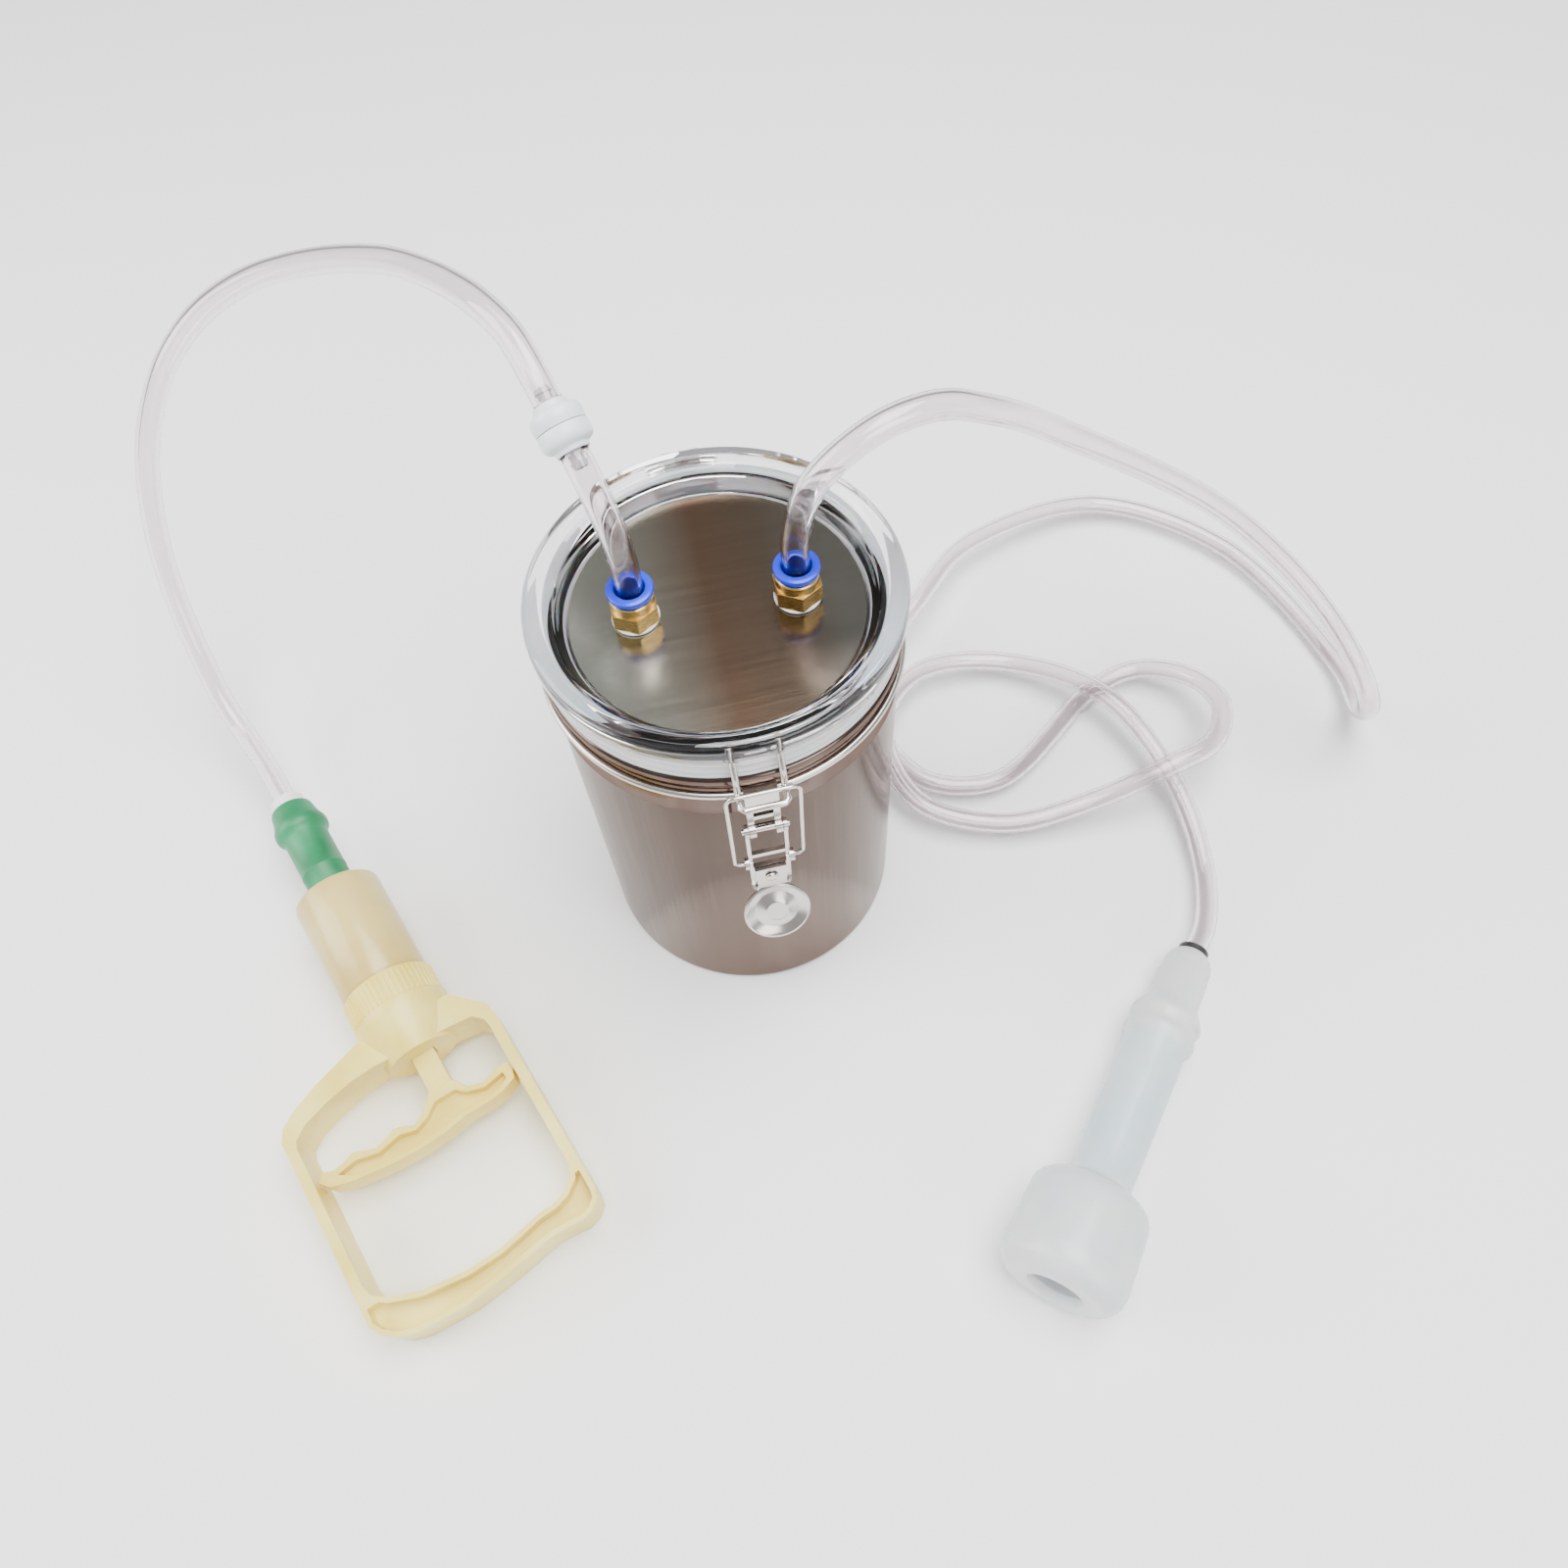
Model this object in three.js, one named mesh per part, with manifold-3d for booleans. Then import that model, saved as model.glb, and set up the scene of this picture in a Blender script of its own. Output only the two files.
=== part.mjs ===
// A hand milking machine: a latched stainless canister with a clear lid, two push-in
// fittings, a vacuum line with a check valve to a hand pump, and a milk line to a teat cup.
// Millimetres, +Z up. The origin is the middle of the canister's base, the latch faces -Y
// and the lid's hinge is at +Y.
import * as THREE from 'three';
import { mergeVertices } from 'three/addons/utils/BufferGeometryUtils.js';
import Module from 'manifold-3d';

const wasm = await Module();
wasm.setup();

// ---------------------------------------------------------------- driving dimensions
const GAP = 0.3;                 // room between pieces that touch
const BODY_R = 65;               // canister body, outside
const BODY_WALL = 1.2;
const RIM_R = 66.2;              // rolled rim of the body
const RIM_Z = 180.6;             // top of the rolled rim
const NECK_Z = 171;              // neck wire's height
const FLANGE_R = 67.6;           // clear lid, outside
const FLANGE_Z = 192.5;          // underside of the lid's flange
const LID_TOP = 202.3;
const PLUG_R = 61;               // part of the lid that enters the body
const PLATE_R = 53;              // steel disc in the lid
const PLATE_TOP = 190.5;
const PLATE_T = 1.2;
const FITTING_X = 28.8;          // fittings, either side of the lid's middle
const FITTING_TURN = -5;         // degrees that the row of fittings is turned on the lid
const HOSE_R = 5;                // clear hose, outside
const HEX_AF = 16;               // fitting hexagon, across flats
const HINGE = { y: 73, z: 184 }; // lid hinge pin
const LEVER = { y: -70, z: 152 };     // latch lever's pivot
const LOOP = { y: -71.2, z: 130 };    // latch loop's pivot, on the lever
const PUMP = { x: -192.1, y: 11.2, z: 26.6, azimuth: -69.1, tilt: 4.3 };
const VALVE = { x: -38.5, y: 30, z: 256, azimuth: 109.2, tilt: -36 };
const CUP = { x: 180.2, y: -104.8, z: 11.9, azimuth: -131.9, tilt: -5.17 };
const FRAME_DEPTH = 24;          // pump handle frame, across its plane
const TRIGGER_DEPTH = 14;
const ROUND = 48;                // sides of the canister and lid

const rad = THREE.MathUtils.degToRad;
const V2 = (x, y) => new THREE.Vector2(x, y);
const V3 = (x, y, z) => new THREE.Vector3(x, y, z);

// ---------------------------------------------------------------- finishes
const finish = (color, roughness, metalness, opacity = 1) => new THREE.MeshStandardMaterial({
  color, roughness, metalness, opacity, transparent: opacity < 1,
});
const steel = () => finish(0x9b928b, 0.18, 1);
const wireSteel = () => finish(0xcfcbc4, 0.25, 1);
const acrylic = () => finish(0xe6eef2, 0.08, 0, 0.35);
const silicone = () => finish(0xdfe7ea, 0.45, 0, 0.85);
const brass = () => finish(0xc9a24a, 0.25, 1);
const blueNylon = () => finish(0x1d3fe0, 0.35, 0);
const whiteNylon = () => finish(0xeeeeea, 0.45, 0);
const cream = () => finish(0xe6d49a, 0.42, 0);
const greenRubber = () => finish(0x45b088, 0.5, 0);
const blackRubber = () => finish(0x202020, 0.7, 0);
const pvc = () => finish(0xe8e0de, 0.1, 0, 0.4);

// ---------------------------------------------------------------- shape helpers
function solid(geometry) {
  let bare = geometry.clone();
  bare.deleteAttribute('normal');
  bare.deleteAttribute('uv');
  bare = mergeVertices(bare, 1e-4);
  const mesh = new wasm.Mesh({
    numProp: 3,
    vertProperties: new Float32Array(bare.attributes.position.array),
    triVerts: new Uint32Array(bare.index.array),
  });
  return new wasm.Manifold(mesh);
}

function geometryOf(manifold) {
  const mesh = manifold.getMesh();
  const geometry = new THREE.BufferGeometry();
  geometry.setAttribute('position', new THREE.BufferAttribute(mesh.vertProperties, 3));
  geometry.setIndex(new THREE.BufferAttribute(mesh.triVerts, 1));
  geometry.computeVertexNormals();
  return geometry;
}

const join = (...pieces) => geometryOf(pieces.map(solid).reduce((a, b) => a.add(b)));
const cut = (piece, ...tools) => geometryOf(
  tools.map(solid).reduce((left, tool) => left.subtract(tool), solid(piece)),
);

// A turned shape about +Z from [radius, height] points. A profile off the axis is closed.
function turned(profile, segments = 28) {
  const points = profile.map(([r, z]) => V2(r, z));
  const open = profile[0][0] === 0 && profile.at(-1)[0] === 0;
  if (!open) points.push(points[0].clone());
  const area = points.reduce((sum, p, i) => {
    const q = points[(i + 1) % points.length];
    return sum + p.x * q.y - q.x * p.y;
  }, 0);
  if (area < 0) points.reverse();
  return new THREE.LatheGeometry(points, segments).rotateX(Math.PI / 2);
}

// The same about +X, from [distance along X, radius] points.
const turnedX = (profile, segments = 32) => turned(profile.map(([s, r]) => [r, s]), segments)
  .rotateY(Math.PI / 2);

const column = (radius, z0, z1, segments = ROUND) => turned(
  [[0, z0], [radius, z0], [radius, z1], [0, z1]], segments,
);

const ring = (inner, outer, z0, z1, segments = 24) => turned(
  [[inner, z0], [outer, z0], [outer, z1], [inner, z1]], segments,
);

function roundBar(radius, length, sides = 16) {
  return new THREE.CylinderGeometry(radius, radius, length, sides).rotateZ(Math.PI / 2);
}

function box(x0, x1, y0, y1, z0, z1) {
  return new THREE.BoxGeometry(x1 - x0, y1 - y0, z1 - z0)
    .translate((x0 + x1) / 2, (y0 + y1) / 2, (z0 + z1) / 2);
}

// A flat shape in X and Y, thick along Z about z = 0.
function plate(shape, thickness, curveSegments = 3) {
  return new THREE.ExtrudeGeometry(shape, {
    depth: thickness, bevelEnabled: false, curveSegments,
  }).translate(0, 0, -thickness / 2);
}

function polygon(points) {
  const shape = new THREE.Shape();
  shape.setFromPoints(points.map(([x, y]) => V2(x, y)));
  return shape;
}

function roundSection(radius, sides) {
  const points = [];
  for (let i = 0; i < sides; i += 1) {
    const turn = (2 * Math.PI * i) / sides;
    points.push([radius * Math.cos(turn), radius * Math.sin(turn)]);
  }
  return polygon(points);
}

function sweep(curve, radius, steps, sides) {
  return new THREE.ExtrudeGeometry(roundSection(radius, sides), {
    steps, bevelEnabled: false, extrudePath: curve,
  });
}

// A straight-sided wire with rounded bends, through corner points.
function bentWire(corners, bend, radius, steps = 40, sides = 10) {
  const path = new THREE.CurvePath();
  let from = corners[0];
  for (let i = 1; i < corners.length - 1; i += 1) {
    const before = corners[i].clone().lerp(corners[i - 1], bend / corners[i].distanceTo(corners[i - 1]));
    const after = corners[i].clone().lerp(corners[i + 1], bend / corners[i].distanceTo(corners[i + 1]));
    path.add(new THREE.LineCurve3(from, before));
    path.add(new THREE.QuadraticBezierCurve3(before, corners[i], after));
    from = after;
  }
  path.add(new THREE.LineCurve3(from, corners.at(-1)));
  return sweep(path, radius, steps, sides);
}

const machine = new THREE.Group();

function place(parent, name, geometry, material) {
  const mesh = new THREE.Mesh(geometry, material);
  mesh.name = name;
  parent.add(mesh);
}

function station(parent, { x = 0, y = 0, z = 0, azimuth = 0, tilt = 0 }) {
  const group = new THREE.Group();
  group.position.set(x, y, z);
  group.rotation.set(0, rad(tilt), rad(azimuth), 'ZYX');
  parent.add(group);
  return group;
}

// ---------------------------------------------------------------- canister body
function canisterBody() {
  const inner = BODY_R - BODY_WALL;
  return turned([
    [0, 0], [61, 0], [64, 0.9], [BODY_R, 3],
    [BODY_R, 157], [BODY_R + 0.6, 158.2], [BODY_R, 159.4],
    [BODY_R, 168], [63.9, 169.2], [63.9, 172.8], [BODY_R, 174],
    [BODY_R, 176], [RIM_R, 177.2], [RIM_R, 179.8], [65.6, RIM_Z], [63.6, RIM_Z],
    [63, 179.6], [63, 168], [inner, 157], [inner, 3.6], [60.6, 1.4], [0, 1.4],
  ], ROUND);
}

// ---------------------------------------------------------------- lid
const LEDGE_Z = PLATE_TOP - PLATE_T - GAP;

function lidShell() {
  return turned([
    [PLUG_R, FLANGE_Z], [66.4, FLANGE_Z], [FLANGE_R, 193.9], [FLANGE_R, 199.4],
    [66.7, 201.3], [64.9, LID_TOP], [62.6, LID_TOP], [60.9, 201.2], [60.3, 199.6],
    [57.6, 198.6], [54.8, 192.2], [PLATE_R + 0.4, 190.8], [PLATE_R + 0.4, LEDGE_Z],
    [49, LEDGE_Z], [49, 186.4], [57.4, 186.4], [57.4, 178], [58, 177], [60.4, 177],
    [PLUG_R, 178],
  ], ROUND);
}

function lidGasket() {
  const z0 = RIM_Z + GAP;
  return turned([
    [PLUG_R + 0.4, z0], [64.6, z0], [65.6, z0 + 1.4], [66, z0 + 3], [66, FLANGE_Z - GAP],
    [PLUG_R + 0.4, FLANGE_Z - GAP],
  ], ROUND);
}

function lidPlate(spots, holeR) {
  const shape = new THREE.Shape();
  shape.absarc(0, 0, PLATE_R, 0, 2 * Math.PI, false);
  for (const [x, y] of spots) {
    const hole = new THREE.Path();
    hole.absarc(x, y, holeR, 0, 2 * Math.PI, true);
    shape.holes.push(hole);
  }
  return plate(shape, PLATE_T, ROUND / 2).translate(0, 0, PLATE_TOP - PLATE_T / 2);
}

// The keeper's two legs come down out of the flange and end in one shallow forward hook.
const KEEPER_HALF = 8;
const KEEPER_R = 1.2;

function keeperCorners() {
  const side = (x) => [
    V3(x, -62.6, 197.4), V3(x, -66.4, 190.6), V3(x, -69.5, 186), V3(x, -69.9, 179.6),
    V3(x, -77.4, 179.6),
  ];
  const left = side(-KEEPER_HALF);
  const right = side(KEEPER_HALF).reverse();
  return [...left, ...right];
}

function keeperLeg(x, radius) {
  return sweep(new THREE.LineCurve3(V3(x, -62.4, 197.8), V3(x, -67.6, 188.5)), radius, 1, 12);
}

const lid = new THREE.Group();
machine.add(lid);
const fittingSpots = [-1, 1].map((side) => [
  side * FITTING_X * Math.cos(rad(FITTING_TURN)),
  side * FITTING_X * Math.sin(rad(FITTING_TURN)),
]);
const keeperHoles = [-KEEPER_HALF, KEEPER_HALF].map((x) => keeperLeg(x, KEEPER_R + 0.5));

place(machine, 'canister_body', canisterBody(), steel());
place(lid, 'lid_shell', cut(lidShell(), ...keeperHoles), acrylic());
place(lid, 'lid_gasket', cut(lidGasket(), ...keeperHoles), silicone());
place(lid, 'lid_plate', lidPlate(fittingSpots, 6.8), steel());
place(lid, 'lid_keeper', bentWire(keeperCorners(), 1.6, KEEPER_R, 40, 8), wireSteel());

// ---------------------------------------------------------------- neck wire and hinge
function neckWire() {
  return new THREE.TorusGeometry(65.9, 1.5, 6, ROUND).translate(0, 0, NECK_Z);
}

const HINGE_PIN_R = 1.5;
const EYE_R = 3;

function hingeEye(x0, x1) {
  return roundBar(EYE_R, x1 - x0, 20).translate((x0 + x1) / 2, HINGE.y, HINGE.z);
}

function hingeBore(length) {
  return roundBar(HINGE_PIN_R + GAP, length, 20).translate(0, HINGE.y, HINGE.z);
}

// A strap on the body hooks over the neck wire and ends in two eyes.
function hingeBracket() {
  const strap = box(-13, 13, 67.7, 69.1, 165, 181.4);
  const hook = box(-13, 13, 64, 69.1, 172.8, 174.2);
  const arms = [[-13, -7.3], [7.3, 13]].flatMap(([x0, x1]) => [
    box(x0, x1, 67.7, 72.4, 180.6, 182.4),
    hingeEye(x0, x1),
  ]);
  return cut(join(strap, hook, ...arms), column(BODY_R + GAP, 160, 178), hingeBore(40));
}

function lidStrap() {
  const pad = box(-7, 7, 67, 69.6, 184.6, 198.6);
  const bridge = box(-7, 7, 68.2, 72.6, 184.6, 186.4);
  return cut(join(pad, bridge, hingeEye(-7, 7)), hingeBore(40), column(FLANGE_R + GAP, 180, 204));
}

place(machine, 'neck_wire', neckWire(), wireSteel());
place(machine, 'hinge_bracket', hingeBracket(), wireSteel());
place(machine, 'hinge_pin', roundBar(HINGE_PIN_R, 28).translate(0, HINGE.y, HINGE.z), wireSteel());
place(lid, 'lid_hinge_strap', lidStrap(), wireSteel());

// ---------------------------------------------------------------- latch
const PIN_R = 1.1;

// A flat ladder in X and Z, its thickness along Y, lying between y0 and y1.
function upright(shape, y0, y1) {
  return plate(shape, y1 - y0).rotateX(Math.PI / 2).translate(0, (y0 + y1) / 2, 0);
}

function rectangle(x0, x1, z0, z1) {
  return polygon([[x0, z0], [x1, z0], [x1, z1], [x0, z1]]);
}

// A ladder strap hooks over the neck wire and ends in two eyes for the lever's pin.
function latchBracket() {
  const ladder = rectangle(-6, 6, 150.5, 174.2);
  ladder.holes.push(rectangle(-3.6, 3.6, 159.4, 167));
  ladder.holes.push(rectangle(-3.6, 3.6, 151.9, 157.2));
  const eyes = [-6, 3.6].map((x) => roundBar(2.8, 2.4).translate(x + 1.2, LEVER.y, LEVER.z));
  const hook = box(-6, 6, -69.1, -64, 172.8, 174.2);
  return cut(join(upright(ladder, -69.1, -67.7), hook, ...eyes), column(BODY_R + GAP, 140, 175),
    roundBar(PIN_R + GAP, 20).translate(0, LEVER.y, LEVER.z));
}

function latchLever() {
  const width = 7.7;
  const bar = 1.4;
  const inside = width - bar;
  const outline = new THREE.Shape();
  outline.moveTo(-width, LEVER.z).lineTo(-width, 110);
  outline.quadraticCurveTo(-width, 105.4, -3.4, 105.4);
  outline.lineTo(3.4, 105.4);
  outline.quadraticCurveTo(width, 105.4, width, 110);
  outline.lineTo(width, LEVER.z).lineTo(inside, LEVER.z);
  outline.lineTo(inside, 135.2).lineTo(-inside, 135.2).lineTo(-inside, LEVER.z);
  outline.holes.push(rectangle(-inside, inside, 125.4, 133));
  outline.holes.push(rectangle(-inside, inside, 107.4, 113));
  const frame = upright(outline, -71.2, -69.4);
  const eyes = [-width, inside].map((x) => (
    roundBar(2.5, bar).translate(x + bar / 2, LEVER.y, LEVER.z)));
  const lugs = [-8.3, 8.3].map((x) => roundBar(2.5, 1.8).translate(x, LOOP.y, LOOP.z));
  return cut(join(frame, ...eyes, ...lugs),
    roundBar(PIN_R + GAP, 24).translate(0, LEVER.y, LEVER.z),
    roundBar(1.15, 24).translate(0, LOOP.y, LOOP.z),
    rivetBore(1.7));
}

function rivetBore(radius) {
  return new THREE.CylinderGeometry(radius, radius, 8, 16).translate(0, -71, 119);
}

function tabRivet() {
  return turned([
    [0, -2.2], [2.2, -2.2], [2.6, -1.7], [2.6, -1.2], [1.4, -1.2], [1.4, 2.4], [2.6, 2.4],
    [2.2, 3.4], [0, 3.7],
  ], 16).rotateX(Math.PI / 2).translate(0, -70.6, 119);
}

function latchLoop() {
  const half = 12.7;
  const top = { y: -73.3, z: 181.9 };
  const side = (x) => [V3(x * 0.66, LOOP.y, LOOP.z), V3(x, LOOP.y, LOOP.z), V3(x, top.y, top.z)];
  return bentWire([...side(-half), ...side(half).reverse()], 2.2, 0.8, 48, 8);
}

const TAB = { y: -77.5, z: 98.4, lean: 26, radius: 13 };

function latchTab() {
  const dish = turned([
    [0, 0.9], [4.2, 0.9], [5.4, 0.2], [8.6, -0.6], [11.2, 0.4], [12.2, 1.1], [TAB.radius, 0.9],
    [TAB.radius, 0], [12, -0.1], [11.2, -0.7], [8.6, -1.7], [5.4, -0.9], [4.2, -0.2], [0, -0.2],
  ], 32).rotateX(Math.PI / 2 - rad(TAB.lean)).translate(0, TAB.y, TAB.z);
  const neck = polygon([[-6, 124.8], [6, 124.8], [5.6, 112], [6.6, 107], [-6.6, 107], [-5.6, 112]]);
  return cut(join(upright(neck, -72.7, -71.5), dish), rivetBore(1.7));
}

place(machine, 'latch_bracket', latchBracket(), wireSteel());
place(machine, 'lever_pin', roundBar(PIN_R, 17.4).translate(0, LEVER.y, LEVER.z), wireSteel());
place(machine, 'latch_lever', latchLever(), wireSteel());
place(machine, 'latch_loop', latchLoop(), wireSteel());
place(machine, 'latch_tab', latchTab(), steel());
place(machine, 'tab_rivet', tabRivet(), wireSteel());

// ---------------------------------------------------------------- push-in fittings
const BORE_R = HOSE_R + GAP;

function hexagon(acrossFlats, z0, z1) {
  const radius = acrossFlats / Math.sqrt(3);
  return new THREE.CylinderGeometry(radius, radius, z1 - z0, 6)
    .rotateX(Math.PI / 2).translate(0, 0, (z0 + z1) / 2);
}

function fittingBody() {
  const barrel = turned([
    [0, 181], [5.9, 181], [6.4, 181.5], [6.4, 193], [7.9, 193], [7.9, 202.9], [7.5, 203.5], [0, 203.5],
  ], 32);
  const bore = turned([[0, 180], [4, 180], [4, 194], [7.1, 194], [7.1, 205], [0, 205]], 32);
  return cut(join(hexagon(HEX_AF, 192.1, 199.1), barrel), bore);
}

function collet() {
  return turned([
    [BORE_R, 198.7], [6.7, 198.7], [6.7, 204.9], [8, 204.9], [8.3, 205.4], [8.3, 206.6],
    [7.6, 207.2], [BORE_R + 0.5, 207.2], [BORE_R, 206.7],
  ], 24);
}

['left', 'right'].forEach((side, i) => {
  const spot = station(lid, { x: fittingSpots[i][0], y: fittingSpots[i][1] });
  place(spot, `fitting_${side}`, fittingBody(), brass());
  place(spot, `fitting_washer_${side}`, ring(6.8, 8.6, 190.8, 191.8), whiteNylon());
  place(spot, `fitting_nut_${side}`, cut(hexagon(17, 183.5, 189), column(6.7, 180, 192, 32)), brass());
  place(spot, `fitting_seal_${side}`, ring(BORE_R, 6.8, 194.4, 196.4), blackRubber());
  place(spot, `grab_ring_${side}`, ring(BORE_R, 6.8, 196.7, 197.2), wireSteel());
  place(machine, `collet_${side}`, collet().translate(...fittingSpots[i], 0), blueNylon());
});

// ---------------------------------------------------------------- check valve
const DRUM_HALF = 6.5;           // half the drum's thickness

// The inlet half points to -X, with its barb.
function valveHalf() {
  return turnedX([
    [-13.6, 1.7], [-13.6, 2.3], [-11.8, 3], [-11.6, 2.4], [-9.9, 2.4], [-8.5, 3], [-8.3, 2.4],
    [-DRUM_HALF, 2.4], [-DRUM_HALF, 7.2], [-6, 8.4], [-4.8, 9], [-0.15, 9], [-0.15, 7.3], [-4.9, 7.3],
    [-4.9, 1.7],
  ], 24);
}

const valve = station(lid, VALVE);
place(valve, 'valve_inlet', valveHalf(), silicone());
place(valve, 'valve_outlet', valveHalf().rotateZ(Math.PI), silicone());
place(valve, 'valve_diaphragm', turnedX([[-0.5, 0], [-0.5, 6.9], [0.5, 6.9], [0.5, 0]], 24), silicone());

// ---------------------------------------------------------------- hand pump
// Along the pump, X runs from the barrel's closed end to the grip bar.
const pump = station(machine, PUMP);

function barrel() {
  return turnedX([
    [-15, 2.5], [-15, 6], [-14.4, 6.5], [0, 6.5], [0, 18], [1.6, 19.3], [4, 19.6], [52.5, 19.4],
    [53.5, 18.8], [71.7, 18.8], [71.7, 16.5], [3.5, 16.5], [3.5, 2.5],
  ], 40);
}

function connector() {
  return turnedX([
    [-0.3, 6.8], [-0.3, 9.6], [-1, 10.2], [-34, 10.2], [-36.5, 12.2], [-38, 12.5], [-41, 12.3],
    [-47, 10.4], [-51, 9.7], [-51.5, 9.2], [-51.5, 6.8], [-41.6, 6.8], [-41.6, 4], [-16, 4], [-16, 6.8],
  ], 24);
}

function hoseAdapter() {
  return turnedX([
    [-57, BORE_R], [-57, 7.2], [-56.5, 7.7], [-51.8, 7.7], [-51.8, 6.5], [-42, 6.5], [-42, BORE_R],
  ], 24);
}

// Outlines in X and Y of the handle's frame and of the window the trigger runs in.
const frameOutline = [
  [74, -20.5], [81, -43.5], [85.5, -54], [90, -61], [95, -63.6], [178, -63.6], [183, -61],
  [187.5, -56], [190.5, -48], [192.4, -28.5], [191, -8.5], [189.4, 2], [188.3, 12], [189, 19],
  [189.9, 25], [188.6, 30], [185.4, 34], [181, 35], [96, 35], [89, 34], [84, 29.3], [79, 24.5],
  [75.8, 21.6],
];
const windowOutline = [
  [87, -19], [87.5, -29], [90, -42], [93.3, -52.3], [97.5, -58.2], [101, -59.2], [163, -59.2],
  [168, -58], [172.5, -52.5], [177.5, -41], [180.6, -23], [180.8, -8], [179.3, 2], [177.7, 10.5],
  [177.8, 17.5], [176.2, 23.5], [172.5, 28.5], [168, 30.5], [98, 30.5], [94.5, 29.8], [90.6, 26],
  [89.2, 16],
];
const triggerOutline = [
  [108, -4.8], [110.7, -7], [114.4, -11], [116.7, -16], [114.2, -20.5], [113.4, -23.6], [114.8, -27],
  [116.5, -33], [114.4, -38], [112.6, -42], [114, -46], [115.1, -51], [113.2, -56], [116.4, -58.7],
  [120.5, -55.4], [123.8, -45.5], [126.3, -30.5], [127.3, -17.5], [126.8, -5.5], [125.3, 4.5],
  [125.7, 14.5], [125, 21.5], [122.4, 28.6], [118, 30], [114.6, 29], [114, 26], [115.7, 21],
  [116.8, 16], [114.3, 10], [109.3, 7.2], [108, 5.4],
];
const triggerRecess = [
  [113, -4.4], [117, -9.5], [119.2, -16], [117.2, -22.5], [119, -33], [116.4, -42], [117.6, -50.5],
  [121.4, -44.5], [123.8, -30], [124.8, -17], [124.3, -5.5], [122.8, 4.5], [123.2, 14.5],
  [122.5, 21], [120.6, 25.6], [117.6, 25.4], [119.2, 16], [116.6, 8.6], [113, 5],
];
const ROD = { y0: -4.8, y1: 5.4, half: 4 };

// A closed outline, listed anticlockwise, moved inward by a distance.
function inset(points, distance) {
  return points.map(([x, y], i) => {
    const [x0, y0] = points.at(i - 1);
    const [x1, y1] = points[(i + 1) % points.length];
    const along = V2(x1 - x0, y1 - y0).normalize();
    return [x - along.y * distance, y + along.x * distance];
  });
}

function pumpHandle() {
  const head = turnedX([
    [54, 0], [54, 19.8], [54.5, 20.2], [67.8, 20.2], [68.3, 21.2], [75, 21.2], [90.4, 15.5], [90.4, 0],
  ], 40);
  const shape = polygon(frameOutline);
  shape.holes.push(polygon(windowOutline));
  const channel = polygon(inset(frameOutline, 2.2));
  channel.holes.push(polygon(inset(windowOutline, -2.2)));
  const channels = [-1, 1].map((side) => cut(
    plate(channel, FRAME_DEPTH / 2).translate(0, 0, side * (4 + FRAME_DEPTH / 4)),
    box(60, 172, -80, 60, -20, 20),
  ));
  const socket = turnedX([[50, 0], [50, 19.2], [72, 19.2], [72, 0]], 40);
  const guide = box(60, 100, ROD.y0 - GAP, ROD.y1 + GAP, -ROD.half - GAP, ROD.half + GAP);
  return cut(join(head, plate(shape, FRAME_DEPTH)), socket, guide, ...channels);
}

function pumpTrigger() {
  const rod = box(13.3, 112, ROD.y0, ROD.y1, -ROD.half, ROD.half);
  const recesses = [-1, 1].map((side) => (
    plate(polygon(triggerRecess), TRIGGER_DEPTH).translate(0, 0, side * (2.2 + TRIGGER_DEPTH / 2))));
  return join(cut(plate(polygon(triggerOutline), TRIGGER_DEPTH), ...recesses), rod);
}

function piston() {
  return turnedX([
    [5, 0], [5, 16.2], [7.4, 16.2], [7.4, 14], [10.2, 14], [10.2, 16.2], [13, 16.2], [13, 0],
  ], 32);
}

const pistonSeal = () => turnedX([[7.7, 14.3], [7.7, 16.2], [9.9, 16.2], [9.9, 14.3]]);

place(pump, 'pump_barrel', barrel(), cream());
place(pump, 'pump_handle', pumpHandle(), cream());
place(pump, 'pump_connector', connector(), greenRubber());
place(pump, 'hose_adapter', hoseAdapter(), whiteNylon());
place(pump, 'pump_trigger', pumpTrigger(), cream());
place(pump, 'pump_piston', piston(), whiteNylon());
place(pump, 'piston_seal', pistonSeal(), blackRubber());

// ---------------------------------------------------------------- teat cup
// Along the cup, X runs from the hose's neck to the mouth.
const cup = station(machine, CUP);

function cupLiner() {
  return turnedX([
    [0, BORE_R], [0, 7], [3, 9.3], [6, 10.3], [25, 10.8], [37, 15.3], [40, 14.2], [45, 15.2],
    [50, 13.3], [117, 12.8], [119, 17], [121, 21], [124, 23.5], [127, 24.3], [150, 25.5], [156, 25.2],
    [160, 23.5], [162, 21], [163, 18], [163, 11.5], [162.4, 11], [159.6, 11], [158.6, 12.5],
    [157.6, 20], [155, 22.4], [128, 21.6], [124.5, 18.5], [121, 12.2], [49.6, 12.2], [49.6, 9],
    [40, 9], [28, 7.5], [24, BORE_R],
  ], 32);
}

place(cup, 'cup_liner', cupLiner(), silicone());
place(cup, 'cup_sleeve', turnedX([[50, 10.4], [50, 11.9], [104, 11.9], [104, 10.4]]), whiteNylon());
place(cup, 'cup_grommet', turnedX([[-2.9, 5.3], [-2.9, 6.6], [-0.3, 6.6], [-0.3, 5.3]], 24), blackRubber());

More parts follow.
